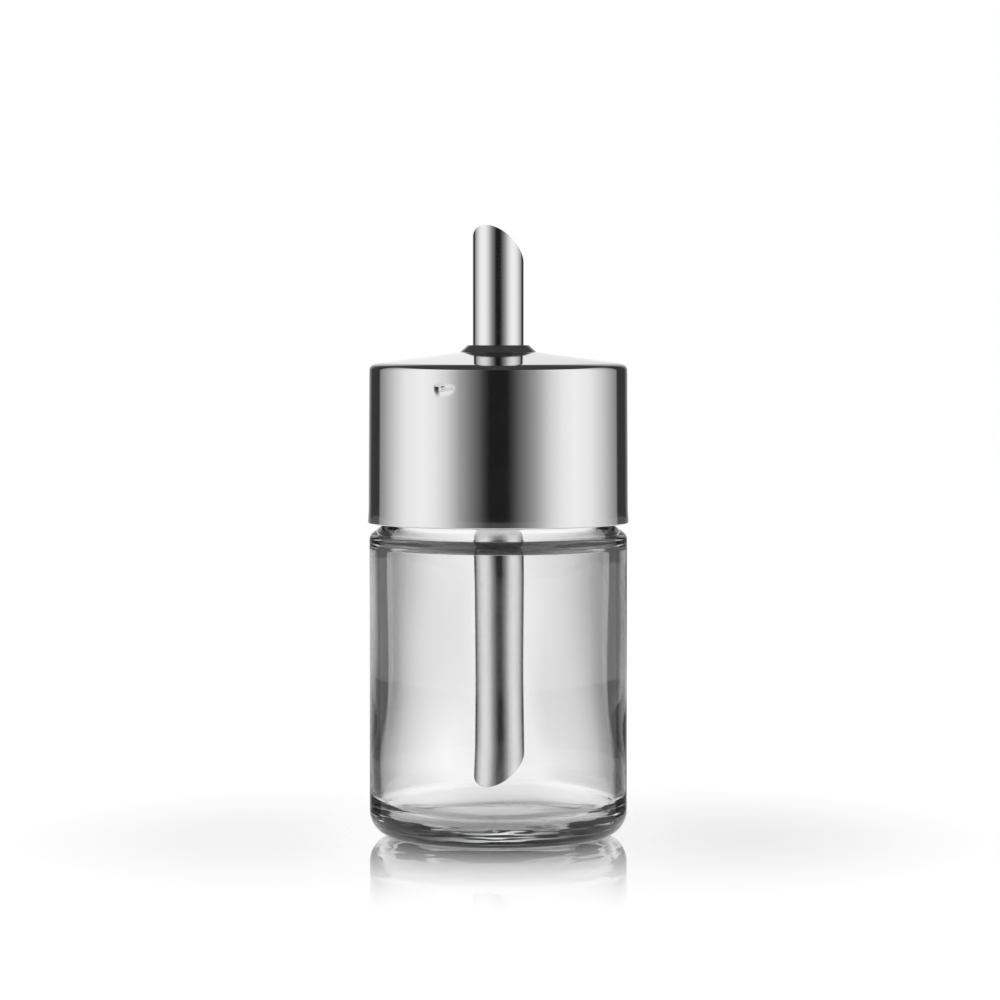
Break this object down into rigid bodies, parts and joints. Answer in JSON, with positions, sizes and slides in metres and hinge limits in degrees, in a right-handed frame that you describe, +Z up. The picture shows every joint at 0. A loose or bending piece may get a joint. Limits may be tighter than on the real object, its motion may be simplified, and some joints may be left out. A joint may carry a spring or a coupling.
{
  "type": "sugar dispenser",
  "caption": "Straight glass jar with a tall polished steel screw cap; a central dosing tube cut at a slant carries sugar up to a spout closed by a small hinged flap.",
  "frame": {"origin": "centre of the circle that the jar stands on, at table level", "axes": "+Z up along the jar, +X to the right of the front view, +Y away from it; the slanted mouth faces 60 degrees from +X towards +Y"},
  "size_m": [0.0606, 0.0606, 0.1422],
  "materials": {
    "jar_glass": "clear pressed soda-lime glass, fire polished",
    "cap_steel": "deep-drawn stainless steel, mirror polished",
    "insert_plastic": "injection-moulded natural polypropylene",
    "seal_silicone": "pale silicone, satin",
    "tube_steel": "drawn stainless tube, polished",
    "spring_steel": "satin stainless spring steel",
    "flap_steel": "stamped stainless sheet, polished",
    "pin_steel": "drawn stainless wire"
  },
  "bodies": {
    "jar": {"glass_jar": "jar_glass"},
    "seal": {"sealing_ring": "seal_silicone"},
    "tube_ring": {"tube_ring": "spring_steel"},
    "cap": {"cap_shell": "cap_steel", "thread_insert": "insert_plastic", "dosing_tube": "tube_steel", "flap_pin": "pin_steel"},
    "flap": {"mouth_flap": "flap_steel"}
  },
  "joints": [
    {"name": "cap_lift", "type": "slide", "parent": "jar", "child": "seal", "axis": [0, 0, 1], "range_m": [0, 0.085]},
    {"name": "cap_rise", "type": "slide", "parent": "seal", "child": "tube_ring", "axis": [0, 0, 1], "range_m": [0, 0.0038]},
    {"name": "cap_turn", "type": "hinge", "parent": "tube_ring", "child": "cap", "pos_m": [0, 0, 0.09], "axis": [0, 0, 1], "range_deg": [0, 450]},
    {"name": "flap_hinge", "type": "hinge", "parent": "cap", "child": "flap", "pos_m": [0.0019, 0.00329, 0.1312], "axis": [-0.866, 0.5, 0], "range_deg": [0, 85]}
  ],
  "couplings": [
    {"joint": "cap_rise", "follows": "cap_turn", "m_per_rad": 0.00047746}
  ]
}
